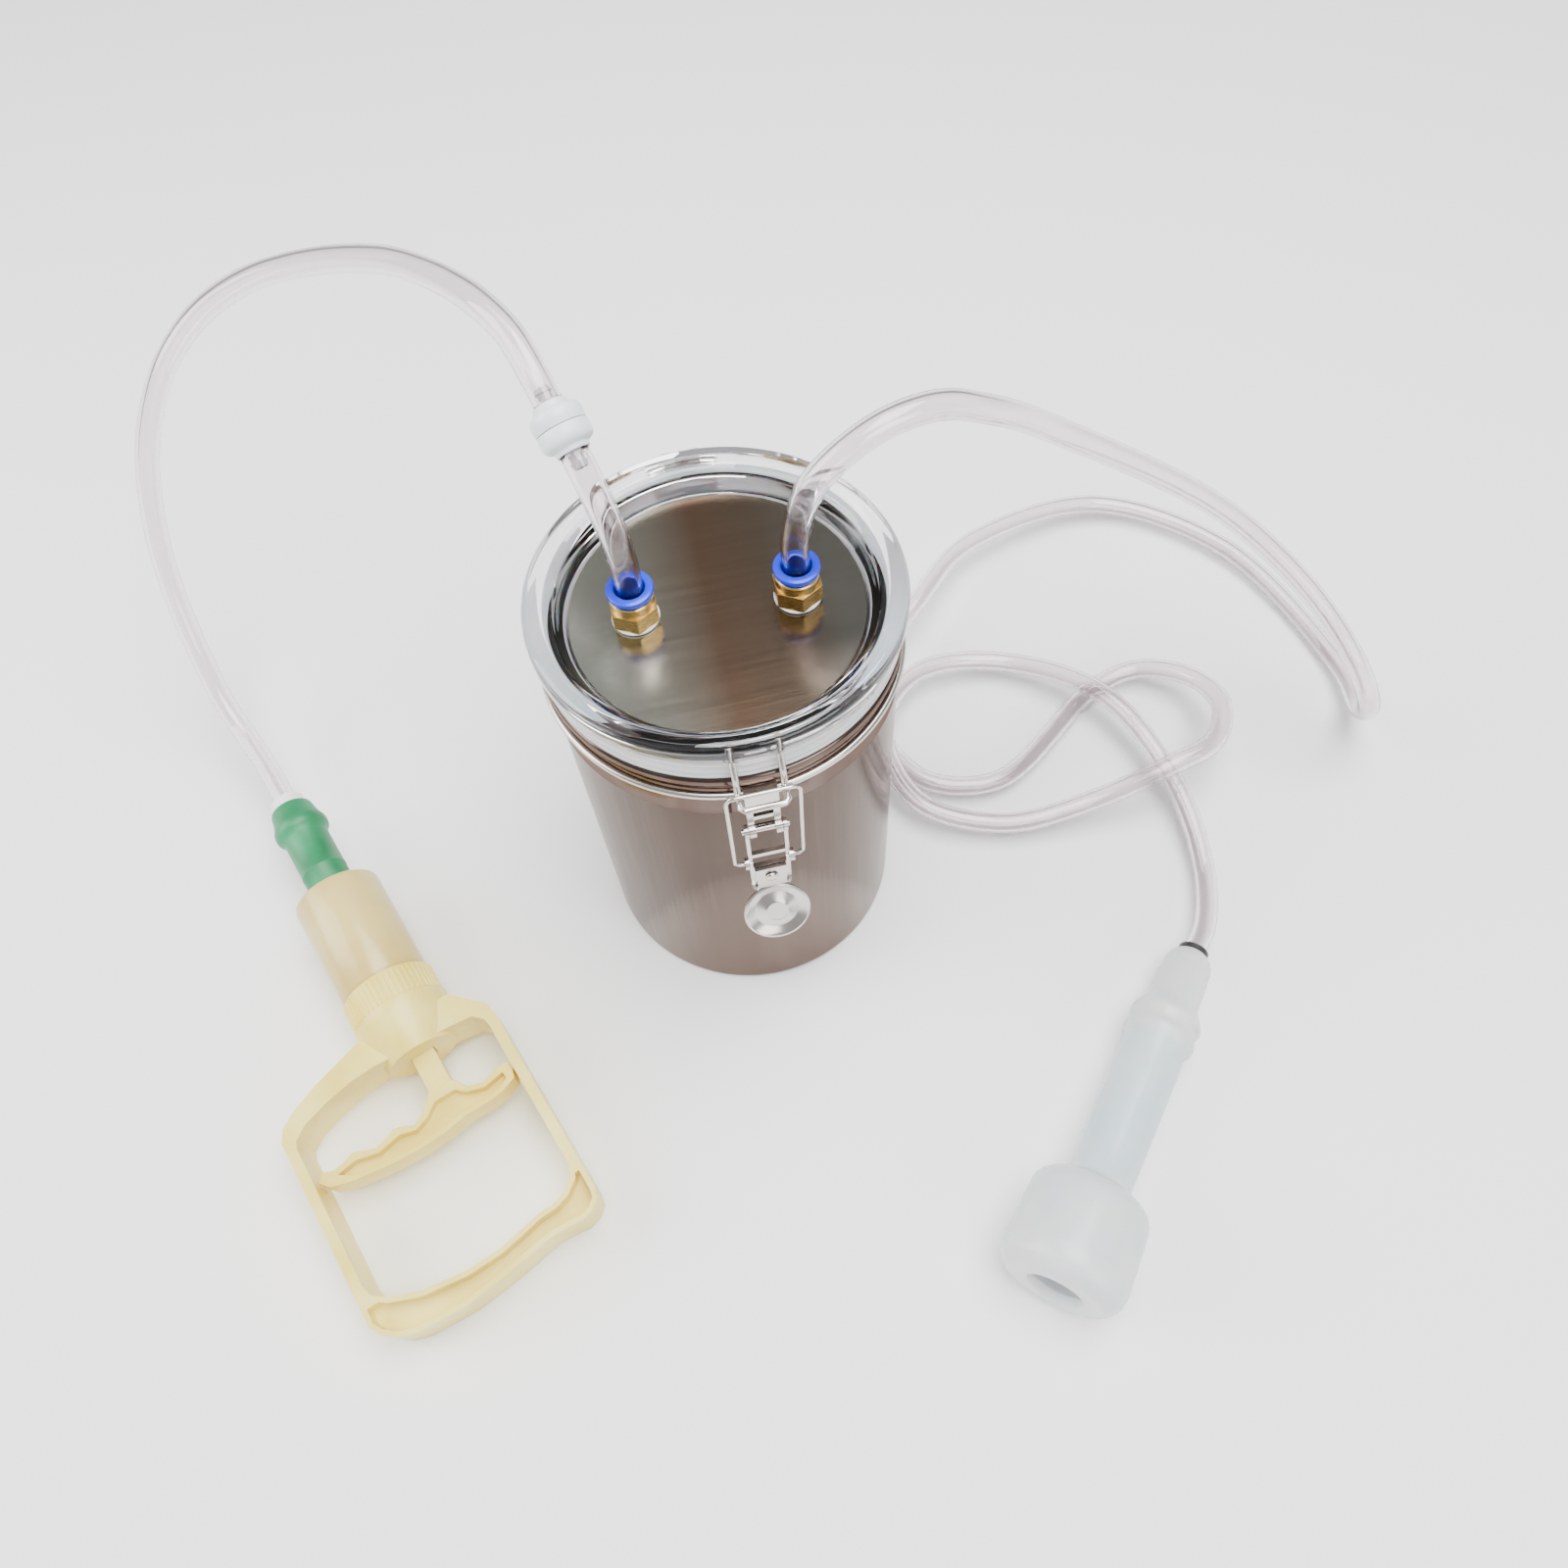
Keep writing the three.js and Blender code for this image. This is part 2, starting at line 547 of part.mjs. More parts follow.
// ---------------------------------------------------------------- hoses
// Points along the middle of each hose.
const stubRoute = [
  [-28.7, 2.5, 194.6], [-28.7, 2.5, 206], [-28.8, 3.2, 217.5], [-30, 7, 230], [-32.6, 13.4, 241],
  [-34.8, 19.4, 247.9], [-36.7, 24.8, 252],
];
const vacuumRoute = [
  [-40.3, 35.2, 260], [-43.4, 44.1, 266.8], [-48, 57, 272.5], [-56, 73, 274], [-66, 91, 271],
  [-76, 107.5, 266], [-87, 123.5, 260], [-100, 139, 252.5], [-114, 154, 244], [-129.5, 167.5, 235],
  [-145, 178.5, 226], [-161, 187, 216], [-176.5, 193, 205], [-191, 195.5, 193],
  [-204.5, 195, 179.5], [-217, 191.5, 163], [-227.5, 185, 145], [-235, 176, 125],
  [-240, 165.5, 104], [-242, 153.5, 82], [-241, 138.5, 61], [-237, 121.5, 45], [-230, 105.5, 36],
  [-222, 88.5, 33], [-212.5, 64.6, 30.9], [-207.4, 51.3, 29.8],
];
const milkRoute = [
  [28.7, -2.5, 194.6], [28.7, -2.5, 207], [28.7, -2.5, 220], [35.6, -1, 242], [57, 3, 256.5],
  [79, 8.5, 256], [99, 14.5, 244], [136, 32, 208], [228, 42, 128], [268, 17, 90], [284, -8, 68],
  [296, -16, 43], [307, -4, 18], [315, 28, 7], [290, 115, 8], [232, 161, 11], [152, 144, 21],
  [116, 111, 27], [84, 81, 18], [76, 47, 9], [91, 14, 8], [126, 5, 8], [190, 46, 6.5],
  [214, 49, 11], [233, 34, 19], [238, 11, 27], [224, -12, 32], [200, -19, 31], [162, -22, 18],
  [120, -20, 11], [83, 0, 15], [76, 40, 21], [102, 71, 17], [143, 72, 12], [187, 36, 19],
  [205, -20, 15], [204, -62, 8.5], [192.8, -90.7, 10.2], [180.2, -104.8, 11.9],
  [166.9, -119.6, 13.7],
];

function hose(route, steps) {
  const curve = new THREE.CatmullRomCurve3(route.map((p) => V3(...p)));
  const section = roundSection(HOSE_R, 10);
  const bore = new THREE.Path();
  bore.setFromPoints(roundSection(3.7, 8).getPoints());
  section.holes.push(bore);
  return new THREE.ExtrudeGeometry(section, { steps, bevelEnabled: false, extrudePath: curve });
}

place(machine, 'stub_hose', hose(stubRoute, 7), pvc());
place(machine, 'vacuum_hose', hose(vacuumRoute, 26), pvc());
place(machine, 'milk_hose', hose(milkRoute, 66), pvc());

export default machine;
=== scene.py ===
"""The hand milking machine's looks: a latched steel canister with a clear lid, a vacuum line with a
check valve to a hand pump, and a milk line to a silicone teat cup, on a pale floor."""

import math

import bmesh
import bpy
import numpy as np
from mathutils import Matrix, Vector


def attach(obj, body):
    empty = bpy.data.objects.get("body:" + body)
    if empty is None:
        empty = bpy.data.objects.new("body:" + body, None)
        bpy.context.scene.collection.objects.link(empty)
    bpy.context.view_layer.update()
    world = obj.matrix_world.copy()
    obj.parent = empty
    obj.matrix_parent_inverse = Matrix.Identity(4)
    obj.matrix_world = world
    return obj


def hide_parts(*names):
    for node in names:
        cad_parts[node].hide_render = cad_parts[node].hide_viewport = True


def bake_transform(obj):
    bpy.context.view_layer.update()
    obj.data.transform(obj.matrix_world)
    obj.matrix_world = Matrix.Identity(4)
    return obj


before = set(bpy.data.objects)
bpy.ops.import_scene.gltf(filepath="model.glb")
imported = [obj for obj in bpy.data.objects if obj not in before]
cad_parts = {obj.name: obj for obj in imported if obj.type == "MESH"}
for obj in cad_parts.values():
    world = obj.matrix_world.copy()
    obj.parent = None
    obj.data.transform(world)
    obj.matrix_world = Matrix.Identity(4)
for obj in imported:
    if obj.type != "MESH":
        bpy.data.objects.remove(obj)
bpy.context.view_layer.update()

MM = 0.001
ROUND_STEPS = 144          # sides of the canister and lid
BARREL_STEPS = 96          # sides of the pump's barrel and the teat cup
SMALL_STEPS = 64           # sides of the smaller turned pieces
HOSE_R = 5.0
HOSE_WALL = 1.5
SKIRT_RIBS = 52
RIB_SIZE = (12.4, 1.1, 1.0)     # along the pump, round it and out from it
RIB_CENTRE = (61.2, 0.0, 20.15)
WIRE_R = 1.5
NECK_WIRE = (65.9, 171.0)       # radius and height of the neck wire's centre line

# Where the turned groups stand: origin, azimuth and downward tilt, as in the CAD.
PUMP = ((-192.1, 11.2, 26.6), -69.1, 4.3)
VALVE = ((-38.5, 30.0, 256.0), 109.2, -36.0)
CUP = ((180.2, -104.8, 11.9), -131.9, -5.17)


# ---------------------------------------------------------------- camera
def add_camera():
    camera = bpy.data.objects.new("camera", bpy.data.cameras.new("camera"))
    bpy.context.scene.collection.objects.link(camera)
    camera.data.lens = 28.095
    camera.data.sensor_width = 36.0
    camera.data.clip_start = 0.01
    camera.data.clip_end = 20.0
    turn = (
        Matrix.Rotation(math.radians(-8.7), 4, "Z")
        @ Matrix.Rotation(math.radians(90.0 - 59.706), 4, "X")
        @ Matrix.Rotation(math.radians(-4.733), 4, "Z")
    )
    camera.matrix_world = Matrix.Translation(Vector((-23.27, -273.32, 531.16)) * MM) @ turn
    bpy.context.scene.camera = camera


add_camera()


# ---------------------------------------------------------------- materials
def srgb(code):
    """An sRGB hex colour as linear RGBA."""
    parts = [int(code[i : i + 2], 16) / 255 for i in (1, 3, 5)]
    linear = [c / 12.92 if c <= 0.04045 else ((c + 0.055) / 1.055) ** 2.4 for c in parts]
    return (*linear, 1.0)


def add_node(material, kind, settings=None, links=None, **inputs):
    """Adds a node: settings are its own properties, inputs are socket values, and links join an
    output of another node to a socket of this one."""
    tree = material.node_tree
    made = tree.nodes.new(kind)
    for name, value in (settings or {}).items():
        setattr(made, name, value)
    for name, value in inputs.items():
        made.inputs[name.replace("_", " ")].default_value = value
    for name, output in (links or {}).items():
        tree.links.new(output, made.inputs[name])
    return made


def new_material(name, **sockets):
    """A named material with a Principled shader, which it returns too."""
    material = bpy.data.materials.new(name)
    material.use_nodes = True
    shader = material.node_tree.nodes["Principled BSDF"]
    for socket, value in sockets.items():
        shader.inputs[socket.replace("_", " ")].default_value = value
    return material, shader


def object_pattern(material, scale=(1.0, 1.0, 1.0), shift=(0.0, 0.0, 0.0)):
    """The Object coordinates, stretched by a scale along each axis and then shifted."""
    place = add_node(material, "ShaderNodeTexCoord")
    return add_node(
        material, "ShaderNodeMapping", links={"Vector": place.outputs["Object"]},
        Scale=scale, Location=shift,
    ).outputs["Vector"]


def noise(material, vector, scale, detail=3.0, roughness=0.5):
    made = add_node(
        material, "ShaderNodeTexNoise", links={"Vector": vector},
        Scale=scale, Detail=detail, Roughness=roughness,
    )
    return made.outputs["Fac"]


def ramp(material, factor, stops):
    """A colour ramp from (position, hex colour) stops."""
    made = add_node(material, "ShaderNodeValToRGB", links={"Fac": factor})
    bar = made.color_ramp
    while len(bar.elements) < len(stops):
        bar.elements.new(0.5)
    for element, (position, code) in zip(bar.elements, stops):
        element.position = position
        element.color = srgb(code)
    return made.outputs["Color"]


def spread(material, factor, low, high):
    """A 0 to 1 pattern spread over a range of values."""
    return add_node(
        material, "ShaderNodeMapRange", links={"Value": factor}, To_Min=low, To_Max=high
    ).outputs["Result"]


def bump(material, shader, height, depth_mm, strength=0.5):
    made = add_node(
        material, "ShaderNodeBump", links={"Height": height},
        Distance=depth_mm * MM, Strength=strength,
    )
    material.node_tree.links.new(made.outputs["Normal"], shader.inputs["Normal"])


def feed(material, shader, **outputs):
    for socket, output in outputs.items():
        material.node_tree.links.new(output, shader.inputs[socket.replace("_", " ")])


def drawn_stainless():
    """Deep-drawn stainless steel, polished: soft streaks that run up the wall. The tint is browner
    than bare steel, and stands in for warm surroundings mirrored in it."""
    material, shader = new_material("drawn_stainless", Metallic=1.0, Specular_Tint=srgb("#DCD3CE"))
    streak = noise(material, object_pattern(material, (60.0, 60.0, 3.0)), 3.0, 5.0, 0.6)
    swirl = add_node(
        material, "ShaderNodeTexNoise", links={"Vector": object_pattern(material, (1.0, 1.0, 0.4))},
        Scale=26.0, Detail=3.0, Distortion=0.7,
    ).outputs["Fac"]
    feed(
        material, shader,
        Base_Color=ramp(material, swirl, [(0.35, "#5F4F49"), (0.65, "#6D5F59")]),
        Roughness=spread(material, streak, 0.08, 0.24),
    )
    bump(material, shader, streak, 0.03, 0.2)
    return material


def scratched_stainless():
    """Flat stainless sheet with a fine brushed grain. Its tint runs across the lid from greenish
    grey through brown to olive grey. It stands in for what the polished sheet mirrors, and it is
    fixed to the sheet."""
    material, shader = new_material("scratched_stainless", Metallic=1.0)
    grain = noise(material, object_pattern(material, (6.0, 300.0, 1.0)), 4.0, 5.0, 0.6)
    across = add_node(
        material, "ShaderNodeSeparateXYZ",
        links={"Vector": object_pattern(material, (9.0, 9.0, 9.0), (0.5, 0.0, 0.0))},
    ).outputs["X"]
    feed(
        material, shader,
        Base_Color=ramp(material, across, [
            (0.05, "#A0A398"), (0.3, "#928D81"), (0.48, "#76604F"), (0.68, "#6F6153"), (0.88, "#74726A"),
        ]),
        Roughness=spread(material, grain, 0.12, 0.3),
    )
    bump(material, shader, grain, 0.02, 0.15)
    return material


def bright_wire():
    """Drawn stainless wire and stampings, bright, with faint die marks."""
    material, shader = new_material("bright_wire", Metallic=1.0, Base_Color=srgb("#CDC8C2"))
    marks = noise(material, object_pattern(material), 900.0, 3.0)
    feed(material, shader, Roughness=spread(material, marks, 0.14, 0.3))
    return material


def clear_acrylic():
    """Moulded clear acrylic: glassy, with a very faint flow in the surface."""
    material, shader = new_material(
        "clear_acrylic", Base_Color=srgb("#FCFCFF"), Transmission_Weight=1.0, IOR=1.49, Roughness=0.01,
    )
    flow = noise(material, object_pattern(material, (1.0, 1.0, 3.0)), 60.0, 1.0)
    bump(material, shader, flow, 0.1, 0.12)
    return material


def milky_silicone():
    """Cast silicone rubber: bluish white, light passes a little way through, satin skin."""
    material, shader = new_material(
        "milky_silicone", Transmission_Weight=0.45, IOR=1.41, Roughness=0.22,
        Subsurface_Weight=0.5, Subsurface_Scale=0.008,
    )
    haze = noise(material, object_pattern(material), 45.0, 3.0)
    skin = noise(material, object_pattern(material), 700.0, 2.0)
    feed(
        material, shader,
        Base_Color=ramp(material, haze, [(0.3, "#F1F7FC"), (0.6, "#FDFEFF"), (0.8, "#EAF3FC")]),
    )
    bump(material, shader, skin, 0.03, 0.3)
    return material


def turned_brass():
    """Brass turned on a lathe: fine rings, warm gold, slightly dulled."""
    material, shader = new_material("turned_brass", Metallic=1.0)
    rings = noise(material, object_pattern(material, (1.0, 1.0, 60.0)), 60.0, 2.0)
    tarnish = noise(material, object_pattern(material), 180.0, 3.0)
    feed(
        material, shader,
        Base_Color=ramp(material, tarnish, [(0.3, "#B8934F"), (0.55, "#E0C07A"), (0.8, "#CDA962")]),
        Roughness=spread(material, rings, 0.16, 0.36),
    )
    return material


def moulded_plastic(name, low, high, roughness, grain=900.0, coat=0.0):
    """Injection-moulded ABS or nylon: an even colour with a faint cloud and a fine moulded grain."""
    material, shader = new_material(name, IOR=1.52, Coat_Weight=coat)
    cloud = noise(material, object_pattern(material), 30.0, 3.0)
    texture = noise(material, object_pattern(material), grain, 2.0)
    feed(
        material, shader,
        Base_Color=ramp(material, cloud, [(0.35, low), (0.65, high)]),
        Roughness=spread(material, texture, roughness - 0.05, roughness + 0.07),
    )
    bump(material, shader, texture, 0.02, 0.25)
    return material


def moulded_rubber(name, low, high):
    """Moulded rubber: satin, with a soft bloom and a fine pebbled skin."""
    material, shader = new_material(name, IOR=1.52)
    bloom = noise(material, object_pattern(material), 55.0, 4.0)
    skin = noise(material, object_pattern(material), 1100.0, 2.0)
    feed(
        material, shader,
        Base_Color=ramp(material, bloom, [(0.3, low), (0.7, high)]),
        Roughness=spread(material, bloom, 0.38, 0.55),
    )
    bump(material, shader, skin, 0.04, 0.3)
    return material


def clear_pvc():
    """Plasticised PVC hose: clear, with a faint pink cast and a slightly uneven gloss."""
    material, shader = new_material(
        "clear_pvc", Base_Color=srgb("#F8F1F3"), Transmission_Weight=1.0, IOR=1.5,
    )
    draw = noise(material, object_pattern(material), 60.0, 2.0)
    feed(material, shader, Roughness=spread(material, draw, 0.0, 0.04))
    return material


STEEL = drawn_stainless()
PLATE_STEEL = scratched_stainless()
WIRE = bright_wire()
ACRYLIC = clear_acrylic()
SILICONE = milky_silicone()
BRASS = turned_brass()
BLUE = moulded_plastic("blue_acetal", "#0622C4", "#0E33EA", 0.24)
WHITE = moulded_plastic("white_nylon", "#E9E9E4", "#F7F7F3", 0.4)
CREAM = moulded_plastic("cream_abs", "#E6CE58", "#F6E586", 0.34, coat=0.1)
BEIGE = moulded_plastic("beige_abs", "#C9AE62", "#D9C278", 0.3, coat=0.2)
GREEN = moulded_rubber("green_rubber", "#0A6B3E", "#1C8C5A")
BLACK = moulded_rubber("black_rubber", "#161616", "#262626")
PVC = clear_pvc()
VALVE_MILKY = moulded_plastic("milky_polypropylene", "#DDE3E6", "#F0F3F4", 0.32)


# ---------------------------------------------------------------- making pieces
def standing(place):
    """The matrix that takes a group's own frame to where it stands."""
    origin, azimuth, tilt = place
    return (
        Matrix.Translation(Vector(origin) * MM)
        @ Matrix.Rotation(math.radians(azimuth), 4, "Z")
        @ Matrix.Rotation(math.radians(tilt), 4, "Y")
    )


def finish_piece(mesh_name, bm, material, body, nodes=(), angle=35.0):
    mesh = bpy.data.meshes.new(mesh_name)
    bm.to_mesh(mesh)
    bm.free()
    mesh.materials.append(material)
    mesh.shade_smooth()
    mesh.set_sharp_from_angle(angle=math.radians(angle))
    piece = bpy.data.objects.new(mesh_name, mesh)
    bpy.context.scene.collection.objects.link(piece)
    if nodes:
        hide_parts(*nodes)
    if body:
        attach(piece, body)
    return piece


def turned(
    name, profile, material, body, nodes=(), place=None, centre=(0.0, 0.0), steps=SMALL_STEPS,
):
    """A piece spun about its axis from a closed profile of (radius, height) points, in millimetres.
    A group's pieces spin about its X axis, and the others about an upright one."""
    bm = bmesh.new()
    corners = [bm.verts.new((r * MM, 0.0, z * MM)) for r, z in profile]
    edges = [bm.edges.new(pair) for pair in zip(corners, corners[1:] + corners[:1])
             if any(abs(v.co.x) > 1e-7 for v in pair)]
    bmesh.ops.spin(
        bm, geom=corners + edges, cent=(0, 0, 0), axis=(0, 0, 1),
        angle=math.tau, steps=steps, use_merge=True,
    )
    bmesh.ops.remove_doubles(bm, verts=bm.verts, dist=1e-6)
    bmesh.ops.recalc_face_normals(bm, faces=bm.faces)
    if place:
        lay = standing(place) @ Matrix.Rotation(math.radians(90), 4, "Y")
    else:
        lay = Matrix.Translation(Vector((*centre, 0.0)) * MM)
    bmesh.ops.transform(bm, matrix=lay, verts=bm.verts)
    return finish_piece(name, bm, material, body, nodes)


def along(profile):
    """A profile given as (distance along the axis, radius), as (radius, height)."""
    return [(r, s) for s, r in profile]


def eased(node, material, body, edge_mm=0.4, segments=2, name=None, angle=28.0):
    """A CAD node's own shape with its edges rounded, as a new piece that stands for it."""
    bm = bmesh.new()
    bm.from_mesh(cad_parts[node].data)
    bmesh.ops.remove_doubles(bm, verts=bm.verts, dist=2e-6)
    bmesh.ops.dissolve_limit(bm, angle_limit=math.radians(0.5), verts=bm.verts, edges=bm.edges)
    sharp = [
        e for e in bm.edges
        if len(e.link_faces) == 2 and e.calc_face_angle(0.0) > math.radians(angle)
    ]
    bmesh.ops.bevel(
        bm, geom=sharp, offset=edge_mm * MM, offset_type="OFFSET", affect="EDGES",
        segments=segments, profile=0.5, material=-1, clamp_overlap=True,
    )
    piece = finish_piece(name or node + "_piece", bm, material, body, (node,), angle=50.0)
    piece.modifiers.new("even_shading", "WEIGHTED_NORMAL").keep_sharp = True
    return piece


def route_line(points, gap_mm=3.0):
    """A smooth line through a hose's points, in metres: the centripetal spline that the CAD uses."""
    p = np.array(points, float)
    p = np.vstack([2 * p[0] - p[1], p, 2 * p[-1] - p[-2]])
    line = []
    for a, b, c, d in zip(p, p[1:], p[2:], p[3:]):
        before, here, after = (np.linalg.norm(v) ** 0.5 for v in (b - a, c - b, d - c))
        leave = ((b - a) / before - (c - a) / (before + here) + (c - b) / here) * here
        arrive = ((c - b) / here - (d - b) / (here + after) + (d - c) / after) * here
        for t in np.arange(0.0, 1.0, 1.0 / max(2, round(np.linalg.norm(c - b) / gap_mm))):
            line.append(
                b + leave * t + (3 * (c - b) - 2 * leave - arrive) * t**2
                + (2 * (b - c) + leave + arrive) * t**3
            )
    line.append(p[-2])
    return [Vector(q) * MM for q in line]


def hose(name, points, body):
    """A clear hose: a round tube along its line, with a wall."""
    line = route_line(points)
    curve = bpy.data.curves.new(name + "_line", "CURVE")
    curve.dimensions = "3D"
    curve.bevel_depth = HOSE_R * MM
    curve.bevel_resolution = 4
    spline = curve.splines.new("POLY")
    spline.points.add(len(line) - 1)
    for point, place in zip(spline.points, line):
        point.co = (*place, 1.0)
    carrier = bpy.data.objects.new(name + "_line", curve)
    mesh = bpy.data.meshes.new_from_object(carrier)
    bpy.data.objects.remove(carrier)
    bm = bmesh.new()
    bm.from_mesh(mesh)
    bmesh.ops.recalc_face_normals(bm, faces=bm.faces)
    piece = finish_piece(name, bm, PVC, None)
    wall = piece.modifiers.new("wall", "SOLIDIFY")
    wall.thickness = HOSE_WALL * MM
    wall.offset = -1.0
    length = sum((b - a).length for a, b in zip(line, line[1:]))
    if body:
        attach(piece, body)
    return piece, line, length


# ---------------------------------------------------------------- hoses
STUB_ROUTE = [
    (-28.7, 2.5, 194.6), (-28.7, 2.5, 206), (-28.8, 3.2, 217.5), (-30, 7, 230), (-32.6, 13.4, 241),
    (-34.8, 19.4, 247.9), (-36.7, 24.8, 252),
]
VACUUM_ROUTE = [
    (-40.3, 35.2, 260), (-43.4, 44.1, 266.8), (-48, 57, 272.5), (-56, 73, 274), (-66, 91, 271),
    (-76, 107.5, 266), (-87, 123.5, 260), (-100, 139, 252.5), (-114, 154, 244),
    (-129.5, 167.5, 235), (-145, 178.5, 226), (-161, 187, 216), (-176.5, 193, 205),
    (-191, 195.5, 193), (-204.5, 195, 179.5), (-217, 191.5, 163), (-227.5, 185, 145),
    (-235, 176, 125), (-240, 165.5, 104), (-242, 153.5, 82), (-241, 138.5, 61), (-237, 121.5, 45),
    (-230, 105.5, 36), (-222, 88.5, 33), (-212.5, 64.6, 30.9), (-207.4, 51.3, 29.8),
]
MILK_ROUTE = [
    (28.7, -2.5, 194.6), (28.7, -2.5, 207), (28.7, -2.5, 220), (35.6, -1, 242), (57, 3, 256.5),
    (79, 8.5, 256), (99, 14.5, 244), (136, 32, 208), (228, 42, 128), (268, 17, 90), (284, -8, 68),
    (296, -16, 43), (307, -4, 18), (315, 28, 7), (290, 115, 8), (232, 161, 11), (152, 144, 21),
    (116, 111, 27), (84, 81, 18), (76, 47, 9), (91, 14, 8), (126, 5, 8), (190, 46, 6.5),
    (214, 49, 11), (233, 34, 19), (238, 11, 27), (224, -12, 32), (200, -19, 31), (162, -22, 18),
    (120, -20, 11), (83, 0, 15), (76, 40, 21), (102, 71, 17), (143, 72, 12), (187, 36, 19),
    (205, -20, 15), (204, -62, 8.5), (192.8, -90.7, 10.2), (180.2, -104.8, 11.9),
    (166.9, -119.6, 13.7),
]


def add_hoses():
    stub, line, length = hose("stub_tube", STUB_ROUTE, "lid")
    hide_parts("stub_hose")
    for name, node, route in (
        ("vacuum_tube", "vacuum_hose", VACUUM_ROUTE),
        ("milk_tube", "milk_hose", MILK_ROUTE),
    ):
        tube, line, length = hose(name, route, None)
        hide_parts(node)
        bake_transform(tube)


add_hoses()


# ---------------------------------------------------------------- canister and lid
def add_canister():
    turned("canister_shell", [
        (0, 0), (60.4, 0), (62.4, 0.3), (64, 1.1), (64.8, 2.4), (65, 4), (65, 157), (65.4, 157.6),
        (65.6, 158.2), (65.4, 158.8), (65, 159.4), (65, 167.8), (64.7, 168.6), (64.1, 169.2),
        (63.9, 170), (63.9, 172), (64.1, 172.9), (64.7, 173.6), (65, 174.4), (65, 176), (65.5, 176.5),
        (66, 177.2), (66.2, 178.2), (66.2, 179.2), (65.9, 180.1), (65.3, 180.6), (63.8, 180.6),
        (63.1, 180), (63, 168), (63.8, 157), (63.8, 3.9), (63.2, 2.4), (61.8, 1.6), (60.4, 1.4), (0, 1.4),
    ], STEEL, "root", ("canister_body",), steps=ROUND_STEPS)
    radius, height = NECK_WIRE
    wire = [
        (radius + WIRE_R * math.cos(a), height + WIRE_R * math.sin(a))
        for a in np.linspace(0, math.tau, 12, False)
    ]
    turned("neck_ring", wire, WIRE, "root", ("neck_wire",), steps=ROUND_STEPS)


def add_lid():
    turned("lid_ring", [
        (61, 192.5), (66, 192.5), (67, 193.1), (67.6, 194.1), (67.6, 199.3), (67.3, 200.5), (66.6, 201.5),
        (65.6, 202.1), (64.6, 202.3), (62.8, 202.3), (61.6, 201.9), (60.7, 201), (60.3, 199.9),
        (59.2, 199.3), (57.8, 198.6), (57, 197.2), (55, 192.6), (54.2, 191.2), (53.4, 190.8),
        (53.4, 189), (49, 189), (49, 186.4), (57.4, 186.4), (57.4, 178), (58, 177), (60.4, 177), (61, 178),
    ], ACRYLIC, "lid", ("lid_shell",), steps=ROUND_STEPS)
    turned("lid_gasket_ring", [
        (61.4, 180.9), (64.4, 180.9), (65, 181.2), (65.6, 182.2), (65.9, 183.4), (66, 184.6),
        (65.6, 185.2), (66, 185.8), (66, 188.4), (65.6, 189), (66, 189.6), (66, 191.8), (65.6, 192.2),
        (61.4, 192.2),
    ], SILICONE, "lid", ("lid_gasket",), steps=ROUND_STEPS)
    eased("lid_plate", PLATE_STEEL, "lid", edge_mm=0.3)
    eased("lid_keeper", WIRE, "lid", edge_mm=0.2, angle=80.0)
    eased("lid_hinge_strap", WIRE, "lid", edge_mm=0.3)


def add_hinge_and_latch():
    for node, body in (
        ("hinge_bracket", "root"), ("hinge_pin", "root"), ("latch_bracket", "root"),
        ("lever_pin", "root"), ("latch_lever", "latch_lever"), ("tab_rivet", "latch_lever"),
    ):
        eased(node, WIRE, body, edge_mm=0.25)
    eased("latch_loop", WIRE, "latch_loop", edge_mm=0.1, angle=80.0)
    eased("latch_tab", WIRE, "latch_lever", edge_mm=0.2)


# ---------------------------------------------------------------- fittings and valve
def add_fittings():
    for side, x, y in (("left", -28.7, 2.5), ("right", 28.7, -2.5)):
        eased(f"fitting_{side}", BRASS, "lid", edge_mm=0.35)
        eased(f"fitting_nut_{side}", BRASS, "lid", edge_mm=0.4)
        eased(f"fitting_washer_{side}", WHITE, "lid", edge_mm=0.2)
        for node, material in ((f"fitting_seal_{side}", BLACK), (f"grab_ring_{side}", WIRE)):
            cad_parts[node].data.materials.clear()
            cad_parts[node].data.materials.append(material)
        turned(f"collet_sleeve_{side}", [
            (5.3, 198.7), (6.7, 198.7), (6.7, 204.9), (7.9, 204.9), (8.2, 205.1), (8.3, 205.5),
            (8.3, 206.4), (8.1, 206.9), (7.6, 207.2), (6, 207.2), (5.5, 207), (5.3, 206.5),
        ], BLUE, f"collet_{side}", (f"collet_{side}",), centre=(x, y))


def valve_profile(way):
    """Half a check valve, from its barb to its rim: a short cuff laps over the hose's end."""
    return along([(way * s, r) for s, r in [
        (-13.6, 1.7), (-13.6, 2.3), (-11.8, 3), (-11.6, 2.4), (-9.9, 2.4), (-8.5, 3), (-8.3, 2.4),
        (-6.8, 2.4), (-6.8, 5.1), (-8.3, 5.1), (-8.4, 5.5), (-8.1, 5.9), (-6.6, 6), (-6.3, 7),
        (-5.7, 8.1), (-4.8, 8.8), (-3.8, 9), (-1, 9), (-0.7, 8.8), (-0.15, 8.8), (-0.15, 7.3),
        (-4.9, 7.3), (-4.9, 1.7),
    ]])


def add_valve():
    for node, way in (("valve_inlet", 1), ("valve_outlet", -1)):
        turned(
            node + "_half", valve_profile(way), VALVE_MILKY, "lid", (node,), VALVE
        )
    eased("valve_diaphragm", SILICONE, "lid", edge_mm=0.2)


